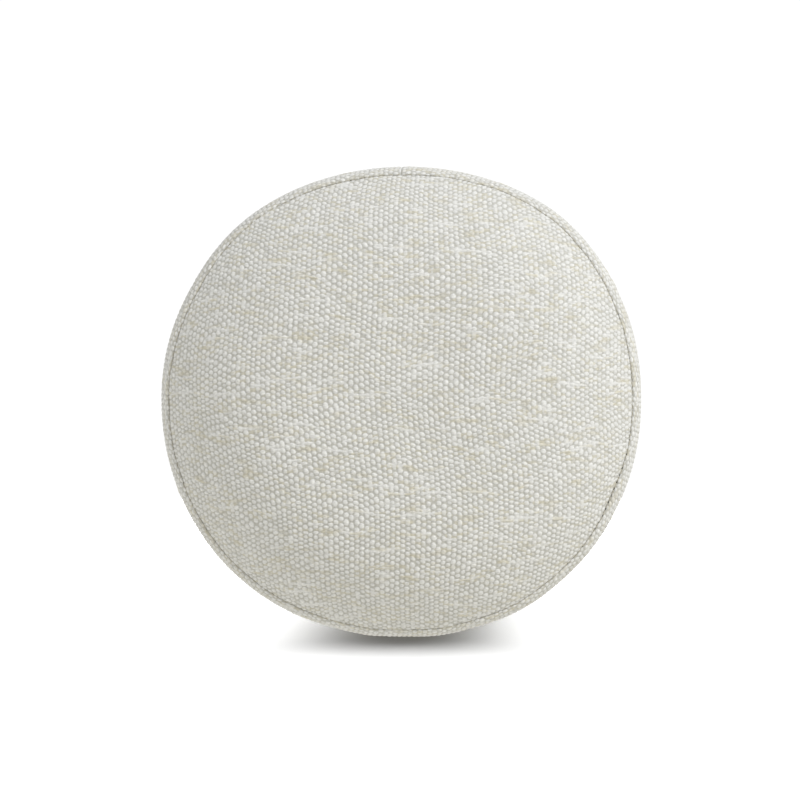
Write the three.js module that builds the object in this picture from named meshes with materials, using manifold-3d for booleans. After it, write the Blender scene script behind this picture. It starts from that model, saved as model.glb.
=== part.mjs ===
// A bolster pillow: a zipped woven cover over a foam-cored insert, lying on its side.
// Millimetres, +Z up. The bolster's axis runs along Y, and it rests on z = 0.

import * as THREE from "three";
import { mergeVertices } from "three/addons/utils/BufferGeometryUtils.js";
import Module from "manifold-3d";

const wasm = await Module();
wasm.setup();

// Overall sizes of the stuffed cover.
const coverRadius = 101.5; // mean outer radius
const spread = 1.0; // added to the radius at the sides and taken off it above and below
const squareness = 0.7; // fullness between the four sides of the section
const axisHeight = 99.4; // the bolster's axis above what it lies on
const restWidth = 40; // flat strip that it lies on
const seamSpan = 556; // between the two round seams
const crown = 27; // how far each end domes out past its seam
const crownPower = 4; // a higher power gives a flatter middle and a fuller edge
const seamDip = 4.4; // how far the round seams lie inside the barrel
const dipLength = 14; // stretch over which the barrel swells to its full radius
const seamLip = 1.0; // length of the rolled edge beside each round seam

// Cloth, thread and clearances.
const gap = 0.3; // between pieces that touch on the real bolster
const clothThickness = 1.4;
const casingThickness = 0.6;
const seamAllowance = 10;
const seamThreadRadius = 0.45;
const casingThreadRadius = 0.25;
const overlockWidth = 1.5;
const barrelSlit = 1.6; // between the two long edges of the barrel panel
const barrelThreadWidth = 1.0;

// Filling.
const wrapThickness = 20.6; // wadding round the foam core
const foamSetback = 2.5; // from where the casing reaches its full radius to the foam core
const padChamfer = 3; // rounding of each end pad beside the casing's seam
const padSlack = 1.2; // further clearance round each end pad
const closingSeamPlace = 20; // to the left of the zip's middle
const closingSeamInset = 130; // from each round seam's plane

// Zip.
const zipInset = 50; // from each round seam's plane to the zip's stops
const tapeMargin = 15; // tape that runs on past the stops
const tapeWidth = 13;
const tapeThickness = 0.6;
const tapeGap = 1.6; // between the two tapes
const coilWidth = 1.9;
const coilHeight = 1.6;
const tapeStitchInset = 3; // from the outer edge of a tape to its stitching
const tapeStitchWidth = 0.5;
const stopLength = 3;
const sliderLength = 9;
const sliderPlate = 1.0;
const sliderFlange = 0.8;
const wedgeWidth = 0.8;
const neckWidth = 1.0;
const eyeRadius = 0.8; // hole that the pull hangs in
const eyeWall = 0.7;
const pullLength = 22;
const pullWidth = 6.4;
const pullThickness = 1.0;
const pullPinRadius = 0.5;
const pullLift = 1.3; // the pull's pin above the cloth
const pullWindow = 3.2; // from the pin to the far end of the window around the eye
const pullArm = 1.2; // width of the two arms beside the window

// Label.
const labelWidth = 11;
const labelLength = 36;
const labelThickness = 0.4;
const labelPlace = -120; // its middle, from the middle of the zip

const segments = 40; // round the section
const crownStations = [0, 0.45, 0.7, 0.85, 0.95, 1];
const dipStations = [0, 0.08, 0.3, 0.6, 1];

const seamRadius = coverRadius - seamDip;
const halfSpan = seamSpan / 2;
const halfOpening = halfSpan - zipInset;

const materials = {
  cover: new THREE.MeshStandardMaterial({ color: 0xd4d3c9, roughness: 0.95 }),
  thread: new THREE.MeshStandardMaterial({ color: 0xa9a798, roughness: 0.9 }),
  zipTape: new THREE.MeshStandardMaterial({ color: 0xcfcbbd, roughness: 0.9 }),
  zipCoil: new THREE.MeshStandardMaterial({ color: 0xd8d5c9, roughness: 0.45 }),
  zipMetal: new THREE.MeshStandardMaterial({ color: 0xc9c5b8, roughness: 0.4, metalness: 0.3 }),
  label: new THREE.MeshStandardMaterial({ color: 0xf2f1ec, roughness: 0.7 }),
  casing: new THREE.MeshStandardMaterial({ color: 0xf1f0ea, roughness: 0.9 }),
  wadding: new THREE.MeshStandardMaterial({ color: 0xf7f7f5, roughness: 1.0 }),
  foam: new THREE.MeshStandardMaterial({ color: 0xe9e2c4, roughness: 0.95 }),
};

const bolster = new THREE.Group();
bolster.name = "bolster";

function add(name, geometry, material) {
  const mesh = new THREE.Mesh(geometry, material);
  mesh.name = name;
  bolster.add(mesh);
}

// ---- booleans ----

function solid(geometry) {
  const bare = geometry.clone();
  for (const name of Object.keys(bare.attributes)) {
    if (name !== "position") bare.deleteAttribute(name);
  }
  const merged = mergeVertices(bare, 1e-4);
  return new wasm.Manifold(
    new wasm.Mesh({
      numProp: 3,
      vertProperties: new Float32Array(merged.attributes.position.array),
      triVerts: new Uint32Array(merged.index.array),
    }),
  );
}

function geometryOf(manifold) {
  const mesh = manifold.getMesh();
  const geometry = new THREE.BufferGeometry();
  geometry.setAttribute("position", new THREE.BufferAttribute(mesh.vertProperties, 3));
  geometry.setIndex(new THREE.BufferAttribute(mesh.triVerts, 1));
  geometry.computeVertexNormals();
  return geometry;
}

function box(xRange, yRange, zRange) {
  const size = [xRange, yRange, zRange].map(([low, high]) => high - low);
  const middle = [xRange, yRange, zRange].map(([low, high]) => (low + high) / 2);
  return new THREE.BoxGeometry(...size).translate(...middle);
}

// ---- the settled section, which every layer shares ----

// A point of the section, from the axis, at a nominal radius and an angle from +X.
function sectionPoint(nominal, angle, ceiling = Infinity) {
  const share = nominal / coverRadius;
  const bulge = spread * Math.cos(2 * angle) - squareness * Math.cos(4 * angle);
  const radius = share * (coverRadius + bulge);
  const step = (2 * Math.PI) / segments;
  const fromBottom = Math.atan2(Math.cos(angle), -Math.sin(angle));
  let x = radius * Math.cos(angle);
  let z = radius * Math.sin(angle);
  if (Math.abs(fromBottom) < 1.5 * step) {
    const side = Math.abs(fromBottom) < 0.5 * step ? 0 : Math.sign(fromBottom);
    x = (side * share * restWidth) / 2;
    z = -share * axisHeight;
  }
  z = Math.min(Math.max(z, -share * axisHeight), ceiling);
  return [x, z];
}

// Height above the floor, at x, of the upper side of a layer.
function upperSide(nominal, x) {
  for (let i = 0; i < segments / 4; i++) {
    const [x0, z0] = sectionPoint(nominal, Math.PI / 2 - (2 * Math.PI * i) / segments);
    const [x1, z1] = sectionPoint(nominal, Math.PI / 2 - (2 * Math.PI * (i + 1)) / segments);
    if (Math.abs(x) <= x1) {
      return axisHeight + z0 + ((z1 - z0) * (Math.abs(x) - x0)) / (x1 - x0);
    }
  }
  throw new Error("x lies outside the section");
}

// Turns a profile about the axis, and settles it. Each point is [nominal radius, y], with a
// third value where something presses that point down from above: the highest it may lie.
function revolve(profile) {
  const points = profile.map(([radius, y]) => new THREE.Vector2(radius, y));
  const lathe = new THREE.LatheGeometry(points, segments);
  const place = lathe.attributes.position;
  for (let i = 0; i < place.count; i++) {
    const [nominal, y, ceiling] = profile[i % profile.length];
    const angle = Math.atan2(place.getZ(i), place.getX(i));
    const [x, z] = sectionPoint(nominal, angle, ceiling);
    place.setXYZ(i, x, y, axisHeight + z);
  }
  return lathe;
}

// Profiles are drawn at the front end as [radius, depth], where depth runs from the seam's
// plane into the bolster. These place them at either end, or mirror them into a whole tube.
const atFront = (profile) =>
  profile.map(([radius, depth, ceiling]) => [radius, depth - halfSpan, ceiling]);
const atRear = (profile) =>
  profile.map(([radius, depth, ceiling]) => [radius, halfSpan - depth, ceiling]).reverse();

function closed(profile) {
  return [...profile, profile[0]];
}

function tube(outer, inner) {
  const outside = [...atFront(outer), ...atRear(outer)];
  const inside = [...atFront(inner), ...atRear(inner)].reverse();
  return revolve(closed([...outside, ...inside]));
}

function ring(radius, depth, size) {
  return [
    [radius - size, depth],
    [radius, depth - size],
    [radius + size, depth],
    [radius, depth + size],
  ];
}

// ---- the shape of the cover near its round seams ----

function crownDepth(radius) {
  const share = radius / seamRadius;
  const next = crownStations.findIndex((station) => station >= share);
  if (next <= 0) return -crown;
  const [low, high] = [crownStations[next - 1], crownStations[next]];
  const depthAt = (station) => -crown * (1 - station ** crownPower);
  return depthAt(low) + ((depthAt(high) - depthAt(low)) * (share - low)) / (high - low);
}

// The crowned line out to a radius, set back from the outer cloth.
function crownLine(reach, back) {
  const radii = crownStations.map((station) => station * seamRadius).filter((r) => r < reach);
  return [...radii, reach].map((radius) => [radius, crownDepth(radius) + back]);
}

function swell(depth) {
  const share = Math.min(Math.max((depth - seamLip) / dipLength, 0), 1);
  return seamRadius + seamDip * Math.sqrt(1 - (1 - share) ** 2);
}

const dipDepths = dipStations.map((station) => seamLip + station * dipLength);
const hemStack = 3 * clothThickness + 2 * gap; // cloth, its hem and the end panel's hem
const overlockEnd = seamAllowance + gap + overlockWidth;
const allowanceDepths = [...dipDepths.filter((depth) => depth < seamAllowance), seamAllowance];

// ---- cover ----

function barrelPanel() {
  const outer = [[seamRadius - seamLip, 0], ...dipDepths.map((depth) => [swell(depth), depth])];
  const hem = allowanceDepths.map((depth) => [swell(depth) - 2 * clothThickness, depth]);
  const inner = [
    [seamRadius - 2 * clothThickness, 0],
    ...hem,
    [swell(seamAllowance) - clothThickness, seamAllowance],
    [coverRadius - clothThickness, seamLip + dipLength],
  ];
  const reach = halfSpan + 1;
  const slit = box([-barrelSlit / 2, barrelSlit / 2], [-reach, reach], [axisHeight, 3 * axisHeight]);
  return geometryOf(solid(tube(outer, inner)).subtract(solid(slit)));
}

// A crowned disc of cloth whose edge turns back into the barrel.
function endPanel() {
  const rim = seamRadius - seamLip - gap;
  const hemOuter = (depth) => swell(depth) - 2 * clothThickness - gap;
  const front = [...crownLine(rim, 0), [rim, -gap], [hemOuter(0), -gap]];
  const hemOut = allowanceDepths.map((depth) => [hemOuter(depth), depth]);
  const hemIn = hemOut.map(([radius, depth]) => [radius - clothThickness, depth]).reverse();
  const back = crownLine(hemOuter(0) - clothThickness, clothThickness).reverse();
  return [...front, ...hemOut, ...hemIn, ...back];
}

function overlock() {
  const top = swell(seamAllowance) - clothThickness - gap;
  const low = swell(seamAllowance) - 3 * clothThickness - gap;
  const near = seamAllowance + gap;
  return closed([
    [low, near],
    [top, near],
    [top, overlockEnd],
    [low, overlockEnd],
  ]);
}

// Stitching that closes the barrel between a round seam and the zip, in the slit.
function barrelSeam(yRange) {
  const surface = [[seamRadius - seamLip, gap], ...dipDepths.map((depth) => [swell(depth), depth])];
  const under = surface.map(([radius, depth]) => [radius - clothThickness, depth]);
  const strip = box(
    [-barrelThreadWidth / 2, barrelThreadWidth / 2],
    yRange,
    [axisHeight, 3 * axisHeight],
  );
  return geometryOf(solid(tube(surface, under)).intersect(solid(strip)));
}

function buildCover() {
  add("barrel_panel", barrelPanel(), materials.cover);
  add("front_end_panel", revolve(atFront(endPanel())), materials.cover);
  add("rear_end_panel", revolve(atRear(endPanel())), materials.cover);
  const seam = closed(ring(seamRadius, 0, seamThreadRadius));
  add("front_seam_thread", revolve(atFront(seam)), materials.thread);
  add("rear_seam_thread", revolve(atRear(seam)), materials.thread);
  add("front_seam_overlock", revolve(atFront(overlock())), materials.thread);
  add("rear_seam_overlock", revolve(atRear(overlock())), materials.thread);
  const sewnFrom = halfSpan - gap;
  const sewnTo = halfOpening + tapeMargin;
  add("barrel_seam_front", barrelSeam([-sewnFrom, -sewnTo]), materials.thread);
  add("barrel_seam_rear", barrelSeam([sewnTo, sewnFrom]), materials.thread);
}

// ---- zip: its layers lie one under the other below the cloth, along the slit ----

const clothTop = upperSide(coverRadius, 0);
const sliderHalf = tapeGap / 2 + coilWidth + gap + sliderFlange;
const upperPlateTop = upperSide(coverRadius - clothThickness, sliderHalf) - gap;
const tapeTop = upperPlateTop - sliderPlate - gap;
const tapeUnder = tapeTop - tapeThickness;
const coilTop = tapeUnder - gap;
const coilUnder = coilTop - coilHeight;
const lowerPlateTop = coilUnder - gap;
const zipUnder = lowerPlateTop - sliderPlate;
const sliderRest = halfOpening - gap - sliderLength / 2; // middle of the closed slider
const pinHeight = clothTop + pullLift;

function mirrored(range, side) {
  return side > 0 ? range : [-range[1], -range[0]];
}

function zipSide(label, side) {
  const inner = tapeGap / 2;
  const tapeEnd = halfOpening + tapeMargin;
  const tapeX = mirrored([inner, inner + tapeWidth], side);
  add(`zip_tape_${label}`, box(tapeX, [-tapeEnd, tapeEnd], [tapeUnder, tapeTop]), materials.zipTape);

  const coil = box(
    mirrored([inner, inner + coilWidth], side),
    [-halfOpening, halfOpening],
    [coilUnder, coilTop],
  );
  add(`zip_coil_${label}`, coil, materials.zipCoil);

  const stitchOuter = inner + tapeWidth - tapeStitchInset;
  const stitchTop = upperSide(coverRadius - clothThickness, stitchOuter) - gap;
  const stitch = box(
    mirrored([stitchOuter - tapeStitchWidth, stitchOuter], side),
    [-halfOpening, halfOpening],
    [tapeTop + gap, stitchTop],
  );
  add(`zip_stitch_${label}`, stitch, materials.thread);

  const stop = box(
    mirrored([inner, inner + coilWidth], side),
    [halfOpening + gap, halfOpening + gap + stopLength],
    [coilUnder, coilTop],
  );
  add(`zip_top_stop_${label}`, stop, materials.zipMetal);
}

function bottomStop() {
  const halfWidth = tapeGap / 2 + coilWidth;
  const end = -halfOpening - gap;
  return box([-halfWidth, halfWidth], [end - stopLength, end], [coilUnder, coilTop]);
}

// Two plates and a wedge between the coils, with a neck that ends in an eye above the cloth.
function slider() {
  const yRange = [sliderRest - sliderLength / 2, sliderRest + sliderLength / 2];
  const flangeTop = tapeUnder - gap;
  const flangeInner = sliderHalf - sliderFlange;
  const eyeOuter = eyeRadius + eyeWall;
  const pieces = [
    box([-sliderHalf, sliderHalf], yRange, [zipUnder, lowerPlateTop]),
    box([-sliderHalf, sliderHalf], yRange, [upperPlateTop - sliderPlate, upperPlateTop]),
    box([flangeInner, sliderHalf], yRange, [lowerPlateTop, flangeTop]),
    box([-sliderHalf, -flangeInner], yRange, [lowerPlateTop, flangeTop]),
    box(
      [-wedgeWidth / 2, wedgeWidth / 2],
      [yRange[1] - sliderLength / 3, yRange[1]],
      [lowerPlateTop, upperPlateTop],
    ),
    box(
      [-neckWidth / 2, neckWidth / 2],
      [sliderRest - eyeOuter, sliderRest + eyeOuter],
      [upperPlateTop, pinHeight],
    ),
    new THREE.CylinderGeometry(eyeOuter, eyeOuter, neckWidth, 24)
      .rotateZ(Math.PI / 2)
      .translate(0, sliderRest, pinHeight),
  ].map(solid);
  const hole = new THREE.CylinderGeometry(eyeRadius, eyeRadius, 2 * neckWidth, 24)
    .rotateZ(Math.PI / 2)
    .translate(0, sliderRest, pinHeight);
  return geometryOf(pieces.reduce((whole, piece) => whole.add(piece)).subtract(solid(hole)));
}

// A drop-shaped tab with a window, hung on the eye by a pin across the window.
function pull() {
  const windowHalf = neckWidth / 2 + gap;
  const armHalf = windowHalf + pullArm;
  const armEnd = -(pullPinRadius + gap);
  const tipRadius = pullWidth / 2;
  const outline = new THREE.Shape();
  outline.moveTo(-armHalf, armEnd);
  outline.lineTo(armHalf, armEnd);
  outline.lineTo(armHalf, pullWindow);
  outline.lineTo(tipRadius, pullLength - tipRadius);
  outline.absarc(0, pullLength - tipRadius, tipRadius, 0, Math.PI, false);
  outline.lineTo(-armHalf, pullWindow);
  outline.closePath();
  const opening = new THREE.Path();
  opening.moveTo(-windowHalf, 2 * armEnd);
  opening.lineTo(-windowHalf, pullWindow);
  opening.lineTo(windowHalf, pullWindow);
  opening.lineTo(windowHalf, 2 * armEnd);
  opening.closePath();
  const extrude = { depth: pullThickness, bevelEnabled: false, curveSegments: 8 };
  const tab = new THREE.ExtrudeGeometry(outline, extrude);
  const gapShape = new THREE.Shape(opening.getPoints());
  const cutter = new THREE.ExtrudeGeometry(gapShape, { ...extrude, depth: 3 * pullThickness });
  cutter.translate(0, 0, -pullThickness);
  const pin = new THREE.CylinderGeometry(pullPinRadius, pullPinRadius, 2 * armHalf - pullArm, 16)
    .rotateZ(Math.PI / 2)
    .translate(0, 0, pullThickness / 2);
  const whole = solid(tab).subtract(solid(cutter)).add(solid(pin));
  return geometryOf(whole).translate(0, sliderRest, pinHeight - pullThickness / 2);
}

function buildZip() {
  zipSide("left", -1);
  zipSide("right", 1);
  add("zip_bottom_stop", bottomStop(), materials.zipMetal);
  add("zip_slider", slider(), materials.zipMetal);
  add("zip_pull", pull(), materials.zipMetal);
}

// ---- insert ----

const casingTop = zipUnder - gap; // the insert lies flattened under the zip
const fillInset = casingThickness + gap;
const fillCeiling = casingTop - fillInset - axisHeight;
const casingSeam = seamRadius - hemStack - gap; // radius of the casing's round seams
const casingBack = clothThickness + gap;
const fillBack = casingBack + fillInset;

function casingSurface(depth) {
  return depth < overlockEnd + gap
    ? swell(Math.min(depth, seamAllowance)) - hemStack - gap
    : coverRadius - clothThickness - gap;
}

const casingEdge = crownDepth(casingSeam) + fillBack;
const rampEnd = overlockEnd + gap + seamDip;

function casingProfile(inset) {
  const ceiling = casingTop - axisHeight - inset;
  const depths = [...allowanceDepths, overlockEnd, rampEnd];
  return [
    [casingSeam - inset, casingEdge, ceiling],
    ...depths.map((depth) => [casingSurface(depth) - inset, depth, ceiling]),
  ];
}

function casingDisc() {
  const outer = crownLine(casingSeam, casingBack);
  const inner = outer.map(([radius, depth]) => [radius, depth + casingThickness]).reverse();
  return [...outer, ...inner];
}

// Rounded off beside the casing's seam, and flat where it backs on to the foam.
function endPad() {
  const depths = [...allowanceDepths, overlockEnd, rampEnd];
  const back = rampEnd + foamSetback - gap;
  const inset = fillInset + padSlack;
  const profile = [
    ...crownLine(casingSeam - fillInset - padChamfer, fillBack),
    ...depths.map((depth) => [casingSurface(depth) - inset, depth]),
    [casingSurface(back) - inset, back],
    [0, back],
  ];
  return profile.map(([radius, depth]) => [radius, depth, fillCeiling - padSlack]);
}

const foamEnd = halfSpan - rampEnd - foamSetback;
const wrapOuter = coverRadius - casingBack - fillInset;
const wrapInner = wrapOuter - wrapThickness;

function waddingWrap() {
  return closed([
    [wrapInner, -foamEnd],
    [wrapOuter, -foamEnd, fillCeiling],
    [wrapOuter, foamEnd, fillCeiling],
    [wrapInner, foamEnd],
  ]);
}

function foamCore() {
  const radius = wrapInner - gap;
  return [
    [0, -foamEnd],
    [radius, -foamEnd],
    [radius, foamEnd],
    [0, foamEnd],
  ];
}

// Stitching that closed the casing once it was filled, on its flattened upper side.
function closingSeam() {
  const size = 2 * casingThreadRadius;
  return box(
    [-closingSeamPlace - size, -closingSeamPlace],
    [closingSeamInset - halfSpan, halfSpan - closingSeamInset],
    [casingTop + gap, casingTop + gap + size],
  );
}

function buildInsert() {
  const casing = tube(casingProfile(0), casingProfile(casingThickness));
  add("casing_barrel", casing, materials.casing);
  add("casing_front", revolve(atFront(casingDisc())), materials.casing);
  add("casing_rear", revolve(atRear(casingDisc())), materials.casing);
  const seamPlace = [casingSeam - fillInset - casingThreadRadius, casingEdge + casingThreadRadius];
  const seam = closed(ring(...seamPlace, casingThreadRadius));
  add("casing_front_seam", revolve(atFront(seam)), materials.thread);
  add("casing_rear_seam", revolve(atRear(seam)), materials.thread);
  add("casing_closing_seam", closingSeam(), materials.thread);
  add("wadding_wrap", revolve(waddingWrap()), materials.wadding);
  add("wadding_pad_front", revolve(atFront(endPad())), materials.wadding);
  add("wadding_pad_rear", revolve(atRear(endPad())), materials.wadding);
  add("foam_core", revolve(foamCore()), materials.foam);
}

function buildLabel() {
  const inner = tapeGap / 2 + tapeWidth + gap;
  const geometry = box(
    [inner, inner + labelWidth],
    [labelPlace - labelLength / 2, labelPlace + labelLength / 2],
    [casingTop + gap, casingTop + gap + labelThickness],
  );
  add("care_label", geometry, materials.label);
}

buildCover();
buildZip();
buildInsert();
buildLabel();

export default bolster;
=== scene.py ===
"""A round bolster pillow in a bead-woven cover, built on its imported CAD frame."""

from functools import lru_cache
from math import atan, cos, pi, radians, sin, tan

import bmesh
import bpy
import numpy as np
from bpy.props import FloatProperty, FloatVectorProperty, PointerProperty
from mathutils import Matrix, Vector


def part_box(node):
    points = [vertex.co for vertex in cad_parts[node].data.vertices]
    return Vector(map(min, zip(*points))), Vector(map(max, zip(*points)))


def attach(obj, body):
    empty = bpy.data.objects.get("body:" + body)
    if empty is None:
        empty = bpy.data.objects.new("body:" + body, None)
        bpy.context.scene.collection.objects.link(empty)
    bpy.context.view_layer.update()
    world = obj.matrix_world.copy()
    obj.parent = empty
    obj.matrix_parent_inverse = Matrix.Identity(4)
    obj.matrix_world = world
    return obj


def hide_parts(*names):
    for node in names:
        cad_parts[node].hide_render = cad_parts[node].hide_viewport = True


bl_info = {
    "name": "Bolster Pillow",
    "version": (1, 0, 0),
    "blender": (4, 5, 0),
    "location": "3D View > Sidebar > Bolster",
    "description": "Makes a zipped bolster pillow with a bead-woven cover and its filling",
    "category": "Add Mesh",
}

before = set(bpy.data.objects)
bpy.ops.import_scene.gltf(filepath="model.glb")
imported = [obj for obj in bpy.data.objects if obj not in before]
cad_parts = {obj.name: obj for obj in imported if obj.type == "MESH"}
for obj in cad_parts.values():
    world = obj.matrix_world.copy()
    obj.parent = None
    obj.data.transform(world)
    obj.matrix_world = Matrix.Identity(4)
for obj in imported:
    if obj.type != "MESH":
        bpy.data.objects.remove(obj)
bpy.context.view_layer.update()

# The cover's own sizes, worked out from the frame and from how its section has settled.
BARREL_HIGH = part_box("barrel_panel")[1]
END_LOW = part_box("front_end_panel")[0]
THREAD_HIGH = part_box("front_seam_thread")[1]
SPREAD = 0.0010
SQUARENESS = 0.0007
THREAD_RADIUS = 0.00045
RADIUS = BARREL_HIGH.x - SPREAD + SQUARENESS
AXIS_HEIGHT = BARREL_HIGH.z - (RADIUS - SPREAD - SQUARENESS)
HALF_SPAN = BARREL_HIGH.y
CROWN = -HALF_SPAN - END_LOW.y
SEAM_RADIUS = THREAD_HIGH.x * RADIUS / BARREL_HIGH.x - THREAD_RADIUS


def length(default, name, description):
    return FloatProperty(
        name=name, description=description, default=default, unit="LENGTH", precision=5
    )


def colour(default, name, description):
    return FloatVectorProperty(
        name=name, description=description, default=default, subtype="COLOR", size=3, min=0, max=1
    )


class BolsterCoverSizes(bpy.types.PropertyGroup):
    radius: length(RADIUS, "Radius", "Mean outer radius of the stuffed barrel")
    axis_height: length(AXIS_HEIGHT, "Axis height", "Height of the bolster's axis above the floor")
    half_span: length(HALF_SPAN, "Half span", "From the middle to each round seam")
    crown: length(CROWN, "Crown", "How far each end domes out past its seam")
    seam_radius: length(SEAM_RADIUS, "Seam radius", "Radius of the round seams")
    swell_length: length(0.014, "Swell length", "Stretch over which the barrel fills out")
    lip: length(0.0004, "Seam lip", "Radius over which cloth rolls into a seam")
    spread: length(SPREAD, "Spread", "How much wider than tall the section has settled")
    squareness: length(SQUARENESS, "Squareness", "Fullness between the section's four sides")
    lean: length(0.0004, "Lean", "Uneven fullness towards one shoulder of the section")
    fullness: length(0.001, "Fullness", "How far the filling presses out single places of the section")
    pucker: length(0.00015, "Pucker", "Gathering of the cloth along the round seams")
    unevenness: length(0.0006, "Unevenness", "Slow rise and fall of the filled cover")
    swell_limit: length(0.0009, "Swell limit", "The furthest that the simulation may move the cloth")
    cloth: length(0.0014, "Cloth", "Thickness of the cover's cloth")


class BolsterWeaveSizes(bpy.types.PropertyGroup):
    bead_width: length(0.00215, "Bead width", "From one column of beads to the next")
    bead_length: length(0.00250, "Bead length", "From one bead to the next in its column")
    relief: length(0.00050, "Relief", "Height of a bead above the gaps round it")
    mesh_step: length(0.00044, "Mesh step", "Spacing of the mesh where the beads are modelled")


class BolsterColours(bpy.types.PropertyGroup):
    bead: colour((0.734, 0.738, 0.724), "Bead", "Raised off-white yarn of the cover")
    ground: colour((0.612, 0.609, 0.566), "Ground", "Yarn that lies between the beads")
    slub: colour((0.615, 0.590, 0.490), "Slub", "Thick uneven stretches of the crossing yarn")
    thread: colour((0.50, 0.475, 0.40), "Thread", "Sewing thread of the cover")
    tape: colour((0.60, 0.57, 0.49), "Zip tape", "Woven tape of the zip")
    coil: colour((0.66, 0.63, 0.55), "Zip coil", "Nylon coils of the zip")
    metal: colour((0.56, 0.53, 0.47), "Zip metal", "Enamelled slider, pull and stops")
    casing: colour((0.82, 0.81, 0.77), "Casing", "Plain cloth round the filling")
    wadding: colour((0.88, 0.88, 0.86), "Wadding", "Polyester wadding")
    foam: colour((0.80, 0.73, 0.52), "Foam", "Foam core")
    label: colour((0.86, 0.85, 0.82), "Label", "Satin label sewn inside the cover")
    floor: colour((0.27, 0.27, 0.27), "Floor", "Floor, which its own two lamps light up to white")


class BolsterStudio(bpy.types.PropertyGroup):
    distance: length(1.2, "Camera distance", "From the front seam's plane to the camera")
    sideways: FloatProperty(
        name="Sideways", description="Angle of the camera to the right of the axis",
        default=radians(1.5), subtype="ANGLE",
    )
    above: FloatProperty(
        name="Above", description="Angle of the camera above the axis",
        default=radians(1.0), subtype="ANGLE",
    )
    floor_glow: FloatProperty(
        name="Floor glow", description="Light that the floor throws back up", default=0.88
    )
    view_width: length(0.3392, "View width", "Width that the camera takes in at the barrel's rim")


def cover_sizes():
    return bpy.context.scene.bolster_cover


# ---- the weave: one formula, for arrays of points and for shader nodes ----

MATHS = {
    "SINE": np.sin,
    "FLOOR": np.floor,
    "MAXIMUM": np.maximum,
    "MINIMUM": np.minimum,
    "FLOORED_MODULO": np.mod,
    "ADD": np.add,
    "SUBTRACT": np.subtract,
    "MULTIPLY": np.multiply,
    "DIVIDE": np.divide,
}


class Wire:
    """A value in a shader's node tree, on which arithmetic adds Math nodes."""

    def __init__(self, tree, socket):
        self.tree = tree
        self.socket = socket

    def __add__(self, other):
        return reckon("ADD", self, other)

    def __sub__(self, other):
        return reckon("SUBTRACT", self, other)

    def __rsub__(self, other):
        return reckon("SUBTRACT", other, self)

    def __mul__(self, other):
        return reckon("MULTIPLY", self, other)

    def __truediv__(self, other):
        return reckon("DIVIDE", self, other)

    __radd__ = __add__
    __rmul__ = __mul__


def reckon(operation, *terms):
    """Does one step of arithmetic on arrays, or adds it to the node tree of its wires."""
    wires = [term for term in terms if isinstance(term, Wire)]
    if not wires:
        return MATHS[operation](*terms)
    tree = wires[0].tree
    node = tree.nodes.new("ShaderNodeMath")
    node.operation = operation
    for socket, term in zip(node.inputs, terms):
        if isinstance(term, Wire):
            tree.links.new(term.socket, socket)
        else:
            socket.default_value = term
    return Wire(tree, node.outputs[0])


def limit(value, low=0.0, high=1.0):
    return reckon("MINIMUM", reckon("MAXIMUM", value, low), high)


def ease(value):
    share = limit(value)
    return share * share * (3 - 2 * share)


def nearest(value):
    return reckon("FLOOR", value + 0.5)


def scramble(number):
    """Shuffles the whole numbers from 0 to 288."""
    return reckon("FLOORED_MODULO", (34 * number + 1) * number, 289.0)


def chance(first, second):
    """A fixed random share for a pair of whole numbers."""
    start = scramble(reckon("FLOORED_MODULO", first, 289.0))
    mixed = reckon("FLOORED_MODULO", start + second, 289.0)
    return scramble(scramble(mixed)) / 289.0


def sway(value, pace, phase):
    return reckon("SINE", value * pace + phase)


def weave(u, v, bead_width, bead_length):
    """The cloth at u across its columns and v along them, in metres: its height, where the
    beads' yarn lies on top, how thick and how dyed the crossing yarn is, and a share for each bead."""
    across = u + 0.0020 * sway(v, 25.0, 1.0) + 0.0008 * sway(v, 71.0, 2.0)
    patch = sway(u, 150.0, 0.4) * sway(v, 120.0, 1.1)
    dense = sway(u, 290.0, 1.9) * sway(v, 330.0, 0.2)
    along = v + 0.0016 * sway(u, 22.0, 0.7) + 0.0006 * sway(u + v, 64.0, 0.3)
    along = along + 0.0011 * patch + 0.0007 * dense
    columns = across / bead_width
    rows = along * (2 / bead_length)

    domes = []
    for drop in (0, 1):
        column = 2 * nearest((columns - drop) * 0.5) + drop
        row = 2 * nearest((rows - drop) * 0.5) + drop
        size = chance(column, row)
        shift = chance(row + 97, column)
        aside = (columns - column + 0.12 * (shift - 0.5)) / (0.46 + 0.09 * size)
        ahead = (rows - row + 0.28 * (size - 0.5)) / (0.66 + 0.24 * shift)
        away = aside * aside + ahead * ahead
        sunk = ease((0.07 - shift) * 40)
        domes.append((0.96 + 0.08 * size - 0.4 * sunk - away * away * 0.75, size))
    (first, first_size), (second, second_size) = domes
    raised = reckon("MAXIMUM", first, second)
    share = ease((first - second) * 4 + 0.5)
    luck = first_size * share + second_size * (1 - share)

    crest = rows - nearest(rows)
    run = columns * 0.29 + 0.37 * nearest(rows)
    start = reckon("FLOOR", run)
    share = ease(run - start)
    thick = chance(start, nearest(rows)) * (1 - share) + chance(start + 1, nearest(rows)) * share
    slub = ease((thick - 0.74) * 5)
    dye = ease((chance(start + 53, nearest(rows) + 29) - 0.66) * 6) * ease(share * (1 - share) * 9)
    laid = (0.22 + 0.55 * slub + 0.38 * dye) * (1 - 3.0 * crest * crest) + 0.10 * slub
    height = reckon("MAXIMUM", raised, laid)
    on_top = ease((raised - laid) * 5 + 0.5)
    return height, on_top, slub, dye, luck


def cloth_weave(u, v):
    sizes = bpy.context.scene.bolster_weave
    return weave(u, v, sizes.bead_width, sizes.bead_length)


# ---- materials ----


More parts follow.
